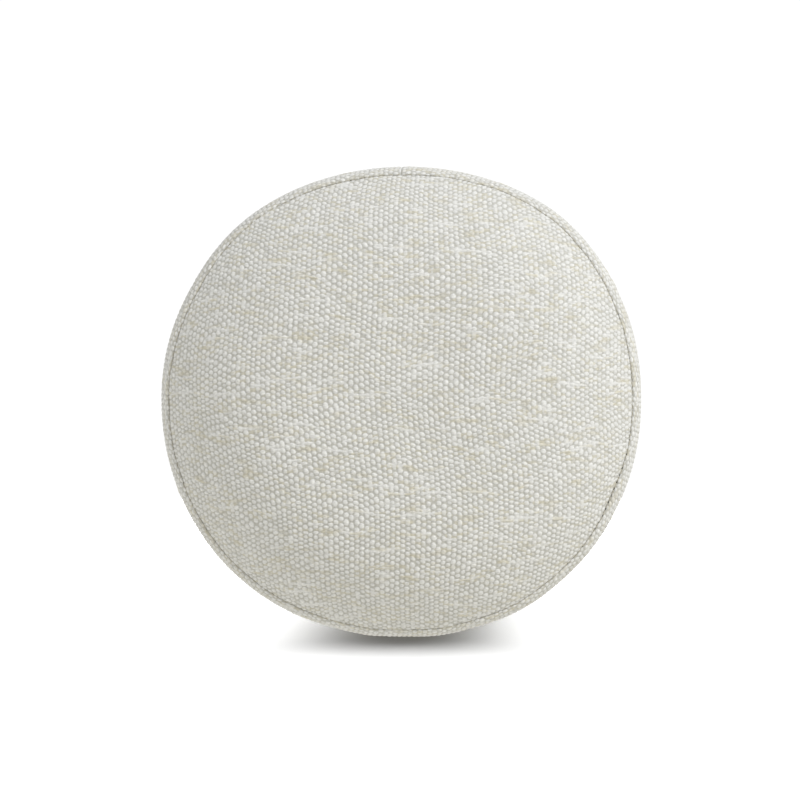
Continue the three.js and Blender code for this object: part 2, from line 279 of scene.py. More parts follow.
def new_material(name, roughness, sheen=0.0, metallic=0.0):
    material = bpy.data.materials.new(name)
    material.use_nodes = True
    tree = material.node_tree
    shader = tree.nodes["Principled BSDF"]
    finish = {"Roughness": roughness, "Sheen Weight": sheen, "Sheen Roughness": 0.5, "Metallic": metallic}
    for socket, value in finish.items():
        shader.inputs[socket].default_value = value
    return material, tree, shader


def mixed(tree, share, first, second):
    """A colour between two colours, each a socket or a fixed colour."""
    node = tree.nodes.new("ShaderNodeMix")
    node.data_type = "RGBA"
    tree.links.new(share.socket, node.inputs[0])
    for socket, value in zip(node.inputs[6:8], (first, second)):
        if isinstance(value, bpy.types.NodeSocket):
            tree.links.new(value, socket)
        else:
            socket.default_value = (*value, 1)
    return node.outputs[2]


def shaded(tree, colour_socket, shade):
    """A colour darkened or lightened by a wire."""
    node = tree.nodes.new("ShaderNodeVectorMath")
    node.operation = "SCALE"
    tree.links.new(colour_socket, node.inputs[0])
    tree.links.new(shade.socket, node.inputs["Scale"])
    return node.outputs[0]


def noise(tree, place, scale, detail=2.0, stretch=(1, 1, 1)):
    mapping = tree.nodes.new("ShaderNodeMapping")
    mapping.inputs["Scale"].default_value = stretch
    tree.links.new(place, mapping.inputs["Vector"])
    node = tree.nodes.new("ShaderNodeTexNoise")
    node.inputs["Scale"].default_value = scale
    node.inputs["Detail"].default_value = detail
    tree.links.new(mapping.outputs[0], node.inputs["Vector"])
    return Wire(tree, node.outputs[0])


def bumped(tree, shader, height, strength=None):
    """Bumps the shader by a height in metres."""
    node = tree.nodes.new("ShaderNodeBump")
    node.inputs["Distance"].default_value = 1.0
    tree.links.new(height.socket, node.inputs["Height"])
    if strength is not None:
        tree.links.new(strength.socket, node.inputs["Strength"])
    tree.links.new(node.outputs[0], shader.inputs["Normal"])


def object_place(tree):
    return tree.nodes.new("ShaderNodeTexCoord").outputs["Object"]


@lru_cache(maxsize=None)
def cover_cloth():
    colours = bpy.context.scene.bolster_colours
    sizes = bpy.context.scene.bolster_weave
    material, tree, shader = new_material("cover cloth", 0.92, sheen=0.12)
    place = tree.nodes.new("ShaderNodeAttribute")
    place.attribute_name = "cloth_place"
    parts = tree.nodes.new("ShaderNodeSeparateXYZ")
    tree.links.new(place.outputs["Vector"], parts.inputs[0])
    u, v, smooth_share = (Wire(tree, socket) for socket in parts.outputs)
    height, on_top, slub, dye, luck = cloth_weave(u, v)
    fibre = noise(tree, place.outputs["Vector"], 1150.0, 3.0, (0.7, 1.4, 0))
    fleck = noise(tree, place.outputs["Vector"], 160.0, 2.0, (0.55, 2.2, 0))

    crossing = mixed(tree, slub, colours.ground, colours.bead)
    plain = mixed(tree, on_top, crossing, colours.bead)
    tan_share = limit(dye * (0.7 - 0.5 * on_top) + ease((fleck - 0.54) * 6) * 0.62)
    yarn = mixed(tree, tan_share, plain, colours.slub)
    # Painted shade: the colour darkens where the weave lies low, as shade in the gaps between the beads;
    # luck and fibre add the beads' own random tone.
    depth = limit(height * 0.9 + 0.1)
    shade = (0.81 + 0.19 * depth) * (0.975 + 0.05 * luck) * (0.60 + 0.80 * fibre)
    tree.links.new(shaded(tree, yarn, shade), shader.inputs["Base Color"])
    bumped(tree, shader, height * sizes.relief + fibre * 0.00006, smooth_share)
    return material


def plain_material(name, base, roughness, scale, stretch=(1, 1, 1), depth=0.0001, **finish):
    """A finish whose colour and surface vary with noise at one scale."""
    material, tree, shader = new_material(name, roughness, **finish)
    place = object_place(tree)
    grain = noise(tree, place, scale, 3.0, stretch)
    cloud = noise(tree, place, scale * 0.08, 2.0)
    dark = [0.86 * value for value in base]
    light = [min(1.0, 1.08 * value) for value in base]
    tint = mixed(tree, limit(grain * 0.7 + cloud * 0.3), dark, light)
    tree.links.new(tint, shader.inputs["Base Color"])
    bumped(tree, shader, grain * depth)
    return material


# ---- the settled shape of the filled cover ----


def waves(value, *parts):
    """A sum of sines, each given as its height, its pace and its phase."""
    return sum(high * np.sin(pace * value + phase) for high, pace, phase in parts)


def mound(angle, middle, reach):
    """A rounded rise around one angle, in degrees, that fades to nothing on both sides."""
    away = np.rad2deg(np.angle(np.exp(1j * (angle - np.deg2rad(middle)))))
    return np.exp(-((away / reach) ** 2))


def settle(nominal, angle):
    """Across and above the floor, for a nominal radius at an angle from +X."""
    cover = cover_sizes()
    share = nominal / cover.radius
    radius = cover.radius + cover.spread * np.cos(2 * angle) - cover.squareness * np.cos(4 * angle)
    radius = radius + cover.lean * np.cos(3 * angle - 0.75 * pi)
    radius = radius + cover.fullness * (1.1 * mound(angle, 50, 15) - 0.8 * mound(angle, 151, 12))
    radius = radius - cover.fullness * (0.8 * mound(angle, 314, 12) + 0.4 * mound(angle, 0, 12))
    radius = radius - cover.fullness * (0.4 * mound(angle, 255, 9) + 0.5 * mound(angle, 287, 9))
    lowest = -share * cover.axis_height
    soft = 0.0003
    z = share * radius * np.sin(angle)
    z = lowest + soft * np.logaddexp(0, (z - lowest) / soft)
    return share * radius * np.cos(angle), cover.axis_height + z


def settled(nominal, angle, y):
    """Points of the section, at a place or at places along the bolster."""
    x, z = settle(nominal, angle)
    return np.stack([x, np.broadcast_to(y, x.shape), z], -1)


def tug(angle, away):
    """How a round seam draws the cloth in and lets it out, fading with distance from it."""
    cover = cover_sizes()
    gather = waves(angle, (0.5, 23, 1.0), (0.35, 37, 2.0), (0.25, 59, 0.4))
    shift = 0.3 + 0.4 * mound(angle, 270, 18) + 0.5 * mound(angle, 128, 12)
    shift = cover.fullness * (shift + 0.6 * mound(angle, 68, 14) - 1.4 * mound(angle, 336, 11))
    return cover.pucker * gather * np.exp(-away / 0.006) + shift * np.exp(-away / 0.012)


def crown_profile():
    """Radius, depth behind the seam's plane and distance along the cloth, for half an end."""
    cover = cover_sizes()
    radius = np.linspace(0, cover.seam_radius, 2000)
    depth = -cover.crown * (1 - (radius / cover.seam_radius) ** 4)
    steps = np.hypot(np.diff(radius), np.diff(depth))
    return radius, depth, np.concatenate([[0], np.cumsum(steps)])


def swell_radius(depth):
    cover = cover_sizes()
    share = np.clip((depth - cover.lip) / cover.swell_length, 0, 1)
    fill = np.sqrt(1 - (1 - share) ** 2)
    return cover.seam_radius + (cover.radius - cover.seam_radius) * fill


def spline_weights(share):
    """Weights of a cubic B-spline's four points."""
    return (
        (1 - share) ** 3 / 6,
        (3 * share**3 - 6 * share**2 + 4) / 6,
        (-3 * share**3 + 3 * share**2 + 3 * share + 1) / 6,
        share**3 / 6,
    )


def looked_up(table, angle, station):
    """Movement at an angle and a station from 0 to 1, smoothly between a table's entries."""
    turns, stations = table.shape[:2]
    around = np.mod(angle / (2 * pi), 1) * turns
    along = np.clip(station, 0, 1) * (stations - 1)
    turn = np.floor(around).astype(int)
    stop = np.minimum(np.floor(along).astype(int), stations - 2)
    found = 0
    for i, across in enumerate(spline_weights(around - turn)):
        for j, ahead in enumerate(spline_weights(along - stop)):
            row = table[(turn + i - 1) % turns, np.clip(stop + j - 1, 0, stations - 1)]
            found = found + (across * ahead)[..., None] * row
    return found


CAGE_TURNS = 96
CAGE_RINGS = 12
CAGE_STATIONS = 58
CAGE_STEPS = 20


def cage_points():
    """A coarse closed copy of the cover: rings over one end, along the barrel, over the other."""
    cover = cover_sizes()
    angle = np.arange(CAGE_TURNS) * 2 * pi / CAGE_TURNS
    shares = np.linspace(0, 1, CAGE_RINGS + 1)[1:]
    ends = [
        (share * cover.seam_radius, -cover.half_span - cover.crown * (1 - share**4)) for share in shares
    ]
    stations = np.linspace(-cover.half_span, cover.half_span, CAGE_STATIONS)[1:-1]
    barrel = [(swell_radius(cover.half_span - abs(y)), y) for y in stations]
    rings = ends + barrel + [(radius, -y) for radius, y in reversed(ends)]
    return np.array([settled(radius, angle, y) for radius, y in rings])


@lru_cache(maxsize=None)
def filled_movement():
    """How filling moves the cover, within the swell limit: a table each for the front end, the
    barrel and the rear end."""
    cover = cover_sizes()
    rings = cage_points()
    count = len(rings)
    moved = np.zeros_like(rings)
    moved = simulated(rings) - rings
    far = np.linalg.norm(moved, axis=-1, keepdims=True)
    moved *= cover.swell_limit * np.tanh(far / cover.swell_limit) / np.maximum(far, 1e-9)
    table = moved.transpose(1, 0, 2)
    front, rear = (
        np.concatenate([end[:, :1].mean(axis=0, keepdims=True).repeat(CAGE_TURNS, axis=0), end], axis=1)
        for end in (table[:, :CAGE_RINGS], table[:, : count - CAGE_RINGS - 1 : -1])
    )
    barrel = table[:, CAGE_RINGS - 1 : count - CAGE_RINGS + 1]
    return front, barrel, rear


def simulated(rings):
    """Fills a coarse cover under pressure, with its round seams and its resting strip held."""
    count = len(rings)
    ids = np.arange(count * CAGE_TURNS).reshape(count, CAGE_TURNS)
    around = np.roll(ids, -1, axis=1)
    sides = np.stack([ids[:-1], around[:-1], around[1:], ids[1:]], -1).reshape(-1, 4)
    faces = [*sides.tolist(), ids[0][::-1].tolist(), ids[-1].tolist()]
    cage = linked("filling_cage", closed_mesh("filling cage", rings, faces))
    held = cage.vertex_groups.new(name="held")
    seams = [*ids[CAGE_RINGS - 1].tolist(), *ids[count - CAGE_RINGS].tolist()]
    floor_reach = 0.0006  # cloth lower than this rests on the floor
    resting = np.flatnonzero(rings.reshape(-1, 3)[:, 2] < floor_reach)
    held.add(sorted({*seams, *resting.tolist()}), 1.0, "REPLACE")
    cloth = cage.modifiers.new("Filling", "CLOTH")
    cloth.settings.effector_weights.gravity = 0
    for setting, value in {
        "quality": 6,
        "mass": 0.4,
        "tension_stiffness": 40,
        "compression_stiffness": 40,
        "shear_stiffness": 20,
        "bending_stiffness": 4,
        "use_pressure": True,
        "uniform_pressure_force": 2,
        "vertex_group_mass": "held",
    }.items():
        setattr(cloth.settings, setting, value)
    cloth.point_cache.frame_start = 1
    cloth.point_cache.frame_end = CAGE_STEPS
    for step in range(1, CAGE_STEPS + 1):
        bpy.context.scene.frame_set(step)
    shape = cage.evaluated_get(bpy.context.evaluated_depsgraph_get()).to_mesh()
    found = vertex_rows(shape.vertices, "co")
    bpy.data.objects.remove(cage)
    bpy.context.scene.frame_set(1)
    return found.reshape(rings.shape).astype(float)


# ---- meshes ----


class Patchwork:
    """Grids of points, joined into one closed piece of cloth."""

    def __init__(self):
        self.points = np.zeros((0, 3))
        self.places = np.zeros((0, 3))
        self.relief = np.zeros(0)
        self.faces = []

    def add(self, points, places=None, relief=None):
        """Adds points and gives their numbers, in the same arrangement."""
        shape = points.shape[:-1]
        number = int(np.prod(shape))
        first = len(self.points)
        places = np.zeros((*shape, 3)) if places is None else np.broadcast_to(places, (*shape, 3))
        relief = np.zeros(shape) if relief is None else np.broadcast_to(relief, shape)
        self.points = np.concatenate([self.points, points.reshape(-1, 3)])
        self.places = np.concatenate([self.places, places.reshape(-1, 3)])
        self.relief = np.concatenate([self.relief, relief.reshape(-1)])
        return np.arange(first, first + number).reshape(shape)

    def grid(self, ids):
        self.faces.extend(quads(ids).reshape(-1, 4).tolist())

    def wrap(self, ids):
        """A grid whose last column meets its first."""
        self.grid(np.concatenate([ids, ids[:, :1]], axis=1))

    def shares(self, border):
        walked = walk(self.points[border])
        return walked / walked[-1]

    def bridge(self, first, second):
        """Joins two borders that hold different numbers of points."""
        at, to = self.shares(first), self.shares(second)
        i = j = 0
        while i < len(first) - 1 or j < len(second) - 1:
            if j == len(second) - 1 or (i < len(first) - 1 and at[i + 1] <= to[j + 1]):
                self.faces.append([int(first[i]), int(first[i + 1]), int(second[j])])
                i += 1
            else:
                self.faces.append([int(first[i]), int(second[j + 1]), int(second[j])])
                j += 1

    def bridge_round(self, first, second):
        self.bridge(np.append(first, first[0]), np.append(second, second[0]))

    def fan(self, border, middle):
        for a, b in zip(border, np.roll(border, -1)):
            self.faces.append([int(a), int(b), int(middle)])

    def made(self, name):
        """The piece, with its beads raised along the cloth's normals."""
        mesh = closed_mesh(name, self.points, self.faces)
        raised = self.points + vertex_rows(mesh.vertex_normals, "vector") * self.relief[:, None]
        raised[:, 2] = np.maximum(raised[:, 2], 0.0)
        move_vertices(mesh, raised)
        attribute = mesh.attributes.new("cloth_place", "FLOAT_VECTOR", "POINT")
        attribute.data.foreach_set("vector", self.places.ravel().astype(np.float32))
        mesh.shade_smooth()
        mesh.update()
        return linked(name, mesh)


def vertex_rows(items, field):
    """A field of a mesh's vertices, as an array with three numbers a row."""
    found = np.zeros(len(items) * 3, np.float32)
    items.foreach_get(field, found)
    return found.reshape(-1, 3)


def move_vertices(mesh, points):
    mesh.vertices.foreach_set("co", points.ravel().astype(np.float32))


def quads(ids):
    """Four-sided faces between the neighbours of a grid of numbers, or of several grids."""
    corners = [ids[..., :-1, :-1], ids[..., 1:, :-1], ids[..., 1:, 1:], ids[..., :-1, 1:]]
    return np.stack(corners, -1)


def closed_mesh(name, points, faces):
    mesh = bpy.data.meshes.new(name)
    mesh.from_pydata(points.reshape(-1, 3).tolist(), [], faces)
    work = bmesh.new()
    work.from_mesh(mesh)
    bmesh.ops.recalc_face_normals(work, faces=work.faces)
    work.to_mesh(mesh)
    work.free()
    return mesh


def linked(name, data):
    piece = bpy.data.objects.new(name, data)
    bpy.context.scene.collection.objects.link(piece)
    return piece


def aimed(name, data, place, target):
    """A camera or a lamp, turned from its place towards a target."""
    piece = linked(name, data)
    piece.location = place
    piece.rotation_euler = (target - place).to_track_quat("-Z", "Y").to_euler()
    return piece


def coated(piece, material):
    piece.data.materials.clear()
    piece.data.materials.append(material)


def finished(piece, material, node):
    """Gives a piece its material and its slot, and puts it in place of a node of the bolster."""
    coated(piece, material)
    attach(piece, "bolster")
    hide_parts(node)
    return piece


def walk(curve):
    """Distances along a curve's points, from its first."""
    return np.concatenate([[0], np.cumsum(np.linalg.norm(np.diff(curve, axis=0), axis=1))])


def resampled(curve, distances):
    """Points of a dense curve at given distances along it."""
    return np.stack([np.interp(distances, walk(curve), part) for part in curve.T], -1)


def curve_length(curve):
    return np.linalg.norm(np.diff(curve, axis=0), axis=1).sum()


MEAN_HEIGHT = 0.50  # of the weave, as a share of its relief
RELIEF_BUMP = 0.35  # strength of the bump where the beads are modelled as well
SEAM_CLEARANCE = 0.00008  # from a round seam to the cloth on each side of it


def bead_relief(u, v):
    """Height of the modelled beads over the cloth's mean surface, in metres."""
    return (cloth_weave(u, v)[0] - MEAN_HEIGHT) * bpy.context.scene.bolster_weave.relief


# ---- end panels ----


def end_surface(radius, angle, side):
    """The crowned cloth of an end, out to its rolled edge."""
    cover = cover_sizes()
    away = cover.seam_radius - radius
    drawn = radius + tug(angle, away) * (radius / cover.seam_radius) ** 2
    x, z = settle(drawn, angle)
    profile = crown_profile()
    depth = np.interp(radius, profile[0], profile[1])
    swell = waves(x, (0.5, 31, side), (0.3, 52, 2.0)) * waves(z, (0.6, 37, 0.5 + side), (0.4, 71, 1.0))
    depth = depth + cover.unevenness * swell * np.clip(away / 0.02, 0, 1)
    y = side * (cover.half_span - depth)
    moved = looked_up(filled_movement()[0 if side < 0 else 2], angle, radius / cover.seam_radius)
    return np.stack([x, y, z], -1) + moved


def end_cloth_place(radius, angle, side):
    """Where a point of an end lies in its flat cloth, and how much of its relief is bumped."""
    profile = crown_profile()
    walked = np.interp(radius, profile[0], profile[2])
    u = walked * np.cos(angle) * -side + (4.0 if side > 0 else 2.0)
    v = walked * np.sin(angle) + 3.0
    return np.stack([u, v, np.full_like(u, RELIEF_BUMP)], -1)


def end_panel(side):
    cover = cover_sizes()
    step = bpy.context.scene.bolster_weave.mesh_step
    cloth = Patchwork()
    edge = cover.seam_radius - 0.3 * cover.lip - SEAM_CLEARANCE
    reach = int(edge / step) + 1
    line = np.arange(-reach, reach + 1) * step
    across, up = np.meshgrid(line, line, indexing="ij")
    middle = np.hypot(across[:-1, :-1] + step / 2, up[:-1, :-1] + step / 2)
    kept = middle < edge - 0.35 * step
    touching = np.zeros(across.shape, int)
    for i, j in ((0, 0), (0, 1), (1, 0), (1, 1)):
        touching[i : i + kept.shape[0], j : j + kept.shape[1]] += kept
    used = touching > 0
    rim = used & (touching < 4)
    angle = np.arctan2(up, across)
    radius = np.where(rim, edge, np.hypot(across, up))
    places = end_cloth_place(radius[used], angle[used], side)
    fade = np.clip((edge - radius[used]) / 0.0008, 0.7, 1)
    relief = bead_relief(places[:, 0], places[:, 1]) * fade
    ids = np.full(across.shape, -1)
    ids[used] = cloth.add(end_surface(radius[used], angle[used], side), places, relief)
    cloth.faces.extend(quads(ids)[kept].tolist())

    ring = ids[rim][np.argsort(angle[rim])]
    turn = np.sort(angle[rim])
    rolled_edge(cloth, ring, turn, edge, side)
    return cloth.made(("front" if side < 0 else "rear") + "_end_cover")


def rolled_edge(cloth, ring, turn, edge, side):
    """Rolls an end's rim into its groove, and closes the cloth's inner face behind it."""
    cover = cover_sizes()
    start = atan(4 * cover.crown / cover.seam_radius)  # the crown's slope at its rim
    place = end_cloth_place(np.full_like(turn, edge), turn, side)
    rim = end_surface(np.full_like(turn, edge), turn, side)
    last = ring
    roll = [
        (cover.lip * (sin(swing) - sin(start)), cover.lip * (cos(start) - cos(swing)))
        for swing in np.linspace(start, pi / 2, 5)[1:]
    ]
    out, back = roll[-1]
    roll += [(out, back + 0.0007), (out, back + 0.0016), (out, back + 0.003)]
    for out, back in roll:
        walked = place.copy()
        walked[:, 0] += np.cos(turn) * -side * (out + back)
        walked[:, 1] += np.sin(turn) * (out + back)
        points = settled(edge + out + tug(turn, 0.0), turn, rim[:, 1] - side * back)
        grown = cloth.add(points, walked, 0.0)
        cloth.grid(np.stack([np.append(last, last[0]), np.append(grown, grown[0])]))
        last = grown

    # The inner face: over the raw edge, back up behind the seam, then under the crown.
    angle = np.linspace(-pi, pi, 97)[:-1]
    inner = [
        (cover.seam_radius - 0.0006, 0.0095),
        (cover.seam_radius - 0.0020, 0.0095),
        (cover.seam_radius - 0.0022, 0.0030),
        (cover.seam_radius - 0.0045, 0.0002),
    ]
    for share in (0.85, 0.65, 0.4, 0.15):
        inner.append((share * cover.seam_radius, cover.cloth - cover.crown * (1 - share**4)))
    rings = [
        cloth.add(settled(radius, angle, side * (cover.half_span - depth))) for radius, depth in inner
    ]
    cloth.bridge_round(last, rings[0])
    cloth.wrap(np.array(rings))
    middle = np.array([[0, side * (cover.half_span + cover.crown - cover.cloth), cover.axis_height]])
    cloth.fan(rings[-1], cloth.add(middle)[0])


# ---- barrel panel ----


def barrel_profile():
    """Nominal radius and depth, from the bottom of a round seam to mid-length."""
    cover = cover_sizes()
    start = cover.seam_radius + SEAM_CLEARANCE
    wall = [(start, depth) for depth in np.linspace(0.0036, cover.lip, 12)]
    corner = [
        (start + cover.lip * (1 - cos(swing)), cover.lip * (1 - sin(swing)))
        for swing in np.linspace(0, pi / 2, 16)[1:]
    ]
    rise = cover.radius - start - cover.lip
    fill = [
        (start + cover.lip + rise * sin(swing), cover.swell_length * (1 - cos(swing)))
        for swing in np.linspace(0, pi / 2, 200)[1:]
    ]
    depths = np.linspace(cover.swell_length, cover.half_span, 600)[1:]
    return np.array(wall + corner + fill + [(cover.radius, depth) for depth in depths])


def spaced(total, fine, fine_reach, growth, coarse):
    """Distances from 0 to a total: finely spaced at first, then growing to a coarse step."""
    found = list(np.arange(0, fine_reach, fine))
    step = fine
    while found[-1] < total:
        step = min(step * growth, coarse)
        found.append(found[-1] + step)
    found = np.array(found)
    return found * total / found[-1]


def slit_profile():
    """Distance from the slit and depth below the surface, from inside the slit outwards."""
    roll = 0.0007
    wall = [(0, depth) for depth in np.linspace(0.0022, roll, 8)]
    corner = [
        (roll * (1 - cos(swing)), roll * (1 - sin(swing))) for swing in np.linspace(0, pi / 2, 16)[1:]
    ]
    total = pi * cover_sizes().radius
    return np.array(wall + corner + [(away, 0) for away in np.linspace(roll, total, 2000)[1:]])


def slit_half_width(y):
    """The slit is drawn shut where it is sewn, and stands open along the zip."""
    zip_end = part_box("zip_tape_left")[1].y
    open_share = np.clip((zip_end - np.abs(y)) / 0.025, 0, 1)
    return 0.00004 + 0.00081 * open_share**2 * (3 - 2 * open_share)


def edge_to_edge(half, total=None):
    """Numbers from one edge to the middle, then on to the far edge: mirrored, or up to a total."""
    rest = half[-2::-1]
    return np.concatenate([half, rest if total is None else total - rest])


def barrel_panel():
    cover = cover_sizes()
    sizes = bpy.context.scene.bolster_weave
    cloth = Patchwork()

    profile = barrel_profile()
    total = curve_length(profile)
    distances = spaced(total, fine=sizes.mesh_step, fine_reach=0.021, growth=1.12, coarse=0.005)
    half = resampled(profile, distances)
    radius = edge_to_edge(half[:, 0])
    y = edge_to_edge(half[:, 1] - cover.half_span, 0)
    v = edge_to_edge(distances, 2 * total)
    from_end = np.minimum(v, 2 * total - v)

    slit = slit_profile()
    reach = curve_length(slit)
    aside = spaced(reach, fine=0.00032, fine_reach=0.0032, growth=1.3, coarse=0.00055)
    side = resampled(slit, aside)
    away = edge_to_edge(side[:, 0], 2 * side[-1, 0])
    sunk = edge_to_edge(side[:, 1])
    u = edge_to_edge(aside, 2 * reach)
    from_slit = np.minimum(u, 2 * reach - u)

    gap = slit_half_width(y)[:, None] / cover.radius
    angle = pi / 2 + gap + away[None] / (2 * pi * cover.radius) * (2 * pi - 2 * gap)
    bulge = waves(angle, (0.5, 2, 1.0), (0.5, 5, 0.3))
    bulge = bulge * waves(y[:, None], (0.7, 19, 1.5), (0.3, 47, 0.2))
    bulge = bulge * cover.unevenness * np.clip((from_end[:, None] - 0.004) / 0.05, 0, 1)
    nominal = radius[:, None] - sunk[None] + tug(angle, from_end[:, None]) + bulge
    station = (y[:, None] + cover.half_span) / (2 * cover.half_span)
    moved = looked_up(filled_movement()[1], angle, np.broadcast_to(station, angle.shape))
    points = settled(nominal, angle, y[:, None]) + moved

    places = np.zeros_like(points)
    places[..., 0] = u[None] + 7.0
    places[..., 1] = v[:, None] + 5.0
    modelled = 1 - np.clip((from_end - 0.017) / 0.004, 0, 1)
    places[..., 2] = 1 - (1 - RELIEF_BUMP) * modelled[:, None]
    into_seam = np.clip((from_end - 0.0029) / 0.0008, 0, 1)
    into_slit = np.clip((from_slit - 0.0014) / 0.0010, 0, 1)
    relief = bead_relief(places[..., 0], places[..., 1]) * modelled[:, None]
    relief = relief * into_seam[:, None] * into_slit[None]
    outside = cloth.add(points, places, relief)
    cloth.grid(outside)

    inner_y = np.linspace(-cover.half_span + 0.0045, cover.half_span - 0.0045, 60)
    inner_angle = np.linspace(0, 1, 97)[None]
    inner_gap = slit_half_width(inner_y)[:, None] / cover.radius
    inner_angle = pi / 2 + inner_gap + inner_angle * (2 * pi - 2 * inner_gap)
    inner_radius = swell_radius(cover.half_span - np.abs(inner_y))[:, None] - 2 * cover.cloth
    inside = cloth.add(settled(inner_radius, inner_angle, inner_y[:, None]))
    cloth.grid(inside[::-1])
    for first, second in (
        (outside[0], inside[0]),
        (outside[:, -1], inside[:, -1]),
        (outside[-1, ::-1], inside[-1, ::-1]),
        (outside[::-1, 0], inside[::-1, 0]),
    ):
        cloth.bridge(first, second)
    return cloth.made("barrel_cover")


# ---- thread, zip and other narrow pieces ----


def stitches(name, starts, ends, outwards, thickness):
    """A row of stitches, each a thread that rises from the cloth and dives back into it."""
    stations = np.linspace(0, 1, 9)
    girth = np.linspace(0, 2 * pi, 9)[:-1]
    along = ends - starts
    sideways = np.cross(along / np.linalg.norm(along, axis=1, keepdims=True), outwards)
    rise = thickness * (np.sqrt(np.maximum(0, 1 - (2 * stations - 1) ** 2)) - 0.5)
    waist = thickness / 2 * (0.25 + 0.75 * np.sqrt(np.maximum(0, 1 - (2 * stations - 1) ** 4)))
    centre = starts[:, None] + along[:, None] * stations[None, :, None]
    centre = centre + outwards[:, None] * rise[None, :, None]
    around = (
        sideways[:, None, None] * np.cos(girth)[None, None, :, None]
        + outwards[:, None, None] * np.sin(girth)[None, None, :, None]
    )
    points = centre[:, :, None] + around * waist[None, :, None, None]
    number = len(starts)
    ids = np.arange(points[..., 0].size).reshape(number, 9, 8)
    wrapped = np.concatenate([ids, ids[:, :, :1]], axis=2)
    faces = quads(wrapped).reshape(-1, 4).tolist() + ids[:, 0].tolist() + ids[:, -1, ::-1].tolist()
    mesh = closed_mesh(name, points, faces)
    mesh.shade_smooth()
    return linked(name, mesh)


def ring_stitches(name, radius, y, thickness, pitch, slant=0.0):
    """Stitches round the section at a nominal radius, each turned by a slant along the axis."""
    number = int(2 * pi * radius / pitch)
    turn = (np.arange(number) + 0.5) * 2 * pi / number
    half = 0.42 * 2 * pi / number
    drawn = radius + tug(turn, 0.0)
    starts = settled(drawn, turn - half, y - slant)
    ends = settled(drawn, turn + half, y + slant)
    outwards = np.stack([np.cos(turn), np.zeros(number), np.sin(turn)], -1)
    return stitches(name, starts, ends, outwards, thickness)


def line_stitches(name, low, high, height, thickness, pitch):
    """Stitches along Y through the middle of a strip."""
    number = max(1, int((high.y - low.y) / pitch))
    y = low.y + (np.arange(number) + 0.5) * (high.y - low.y) / number
    x = np.full(number, (low.x + high.x) / 2)
    z = height(y) if callable(height) else np.full(number, height)
    reach = 0.42 * pitch
    starts = np.stack([x, y - reach, z], -1)
    ends = np.stack([x, y + reach, z], -1)
    outwards = np.tile([0.0, 0.0, 1.0], (number, 1))
    return stitches(name, starts, ends, outwards, thickness)


def blunted(value):
    """A sine or cosine pushed towards 1 or -1, which squares off a round section."""
    return np.sign(value) * np.abs(value) ** 0.35


def band(name, low, high, step, wave=0.0):
    """A flat strip along Y with rounded edges, gently uneven along its length."""
    stations = max(3, int((high.y - low.y) / step) + 1)
    y = np.linspace(low.y, high.y, stations)
    girth = np.linspace(0, 2 * pi, 25)[:-1]
    half = ((high.x - low.x) / 2, (high.z - low.z) / 2)
    x = (low.x + high.x) / 2 + (half[0] - wave) * blunted(np.cos(girth))
    z = (low.z + high.z) / 2 + (half[1] - wave) * blunted(np.sin(girth))
    shake = wave * waves(y, (0.6, 160, 0.2), (0.4, 410, 1.0))
    parts = [x[None] + 0 * y[:, None], y[:, None] + 0 * x[None], z[None] + shake[:, None]]
    points = np.stack(parts, -1)
    strip = Patchwork()
    ids = strip.add(points, 0.0, 0.0)
    strip.wrap(ids)
    for border, end in ((ids[0], y[0]), (ids[-1], y[-1])):
        middle = strip.add(np.array([[(low.x + high.x) / 2, end, (low.z + high.z) / 2]]))[0]
        strip.fan(border, middle)
    return strip.made(name)


def coil(name, low, high, side):
    """A nylon coil along Y, whose turns bite at the zip's middle line."""
    wire, pitch = 0.00032, 0.0012
    turns = int((high.y - low.y) / pitch)
    steps = 12
    path = np.arange(turns * steps + 1) / steps
    swing = 2 * pi * path
    middle = ((low.x + high.x) / 2, (low.z + high.z) / 2)
    x = middle[0] + side * ((high.x - low.x) / 2 - wire) * np.cos(swing)
    z = middle[1] + ((high.z - low.z) / 2 - wire) * np.sin(swing)
    y = low.y + wire + path * (high.y - low.y - 2 * wire) / turns
    spine = np.stack([x, y, z], -1)
    ahead = np.gradient(spine, axis=0)
    ahead /= np.linalg.norm(ahead, axis=1, keepdims=True)
    out = np.stack([np.cos(swing) * side, 0 * swing, np.sin(swing)], -1)
    across = np.cross(ahead, out)
    girth = np.linspace(0, 2 * pi, 7)[:-1]
    ring = out[:, None] * np.cos(girth)[None, :, None] + across[:, None] * np.sin(girth)[None, :, None]
    tube = Patchwork()
    ids = tube.add(spine[:, None] + wire * ring)
    tube.wrap(ids)
    for border, end in ((ids[0], spine[:1]), (ids[-1], spine[-1:])):
        tube.fan(border, tube.add(end)[0])
    return tube.made(name)


def refined(node, name, levels, uneven):
    """A welded, subdivided and slightly uneven copy of a soft CAD node."""
    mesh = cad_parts[node].data.copy()
    mesh.name = name
    work = bmesh.new()
    work.from_mesh(mesh)
    bmesh.ops.remove_doubles(work, verts=work.verts, dist=2e-6)
    bmesh.ops.join_triangles(
        work, faces=work.faces, angle_face_threshold=radians(20), angle_shape_threshold=radians(120)
    )
    work.to_mesh(mesh)
    work.free()
    piece = linked(name, mesh)
    smoother = piece.modifiers.new("Rounding", "SUBSURF")
    smoother.levels = smoother.render_levels = levels
    shape = piece.evaluated_get(bpy.context.evaluated_depsgraph_get())
    piece.data = bpy.data.meshes.new_from_object(shape)
    piece.modifiers.clear()
    points = vertex_rows(piece.data.vertices, "co")
    lumps = waves(points[:, 0], (0.5, 130, 0.1)) * waves(points[:, 1], (0.5, 90, 0.7), (0.5, 210, 0.2))
    normals = vertex_rows(piece.data.vertex_normals, "vector")
    move_vertices(piece.data, points + normals * (uneven * (lumps - 1))[:, None])
    piece.data.shade_smooth()
    piece.data.name = name
    return piece


# ---- operators ----


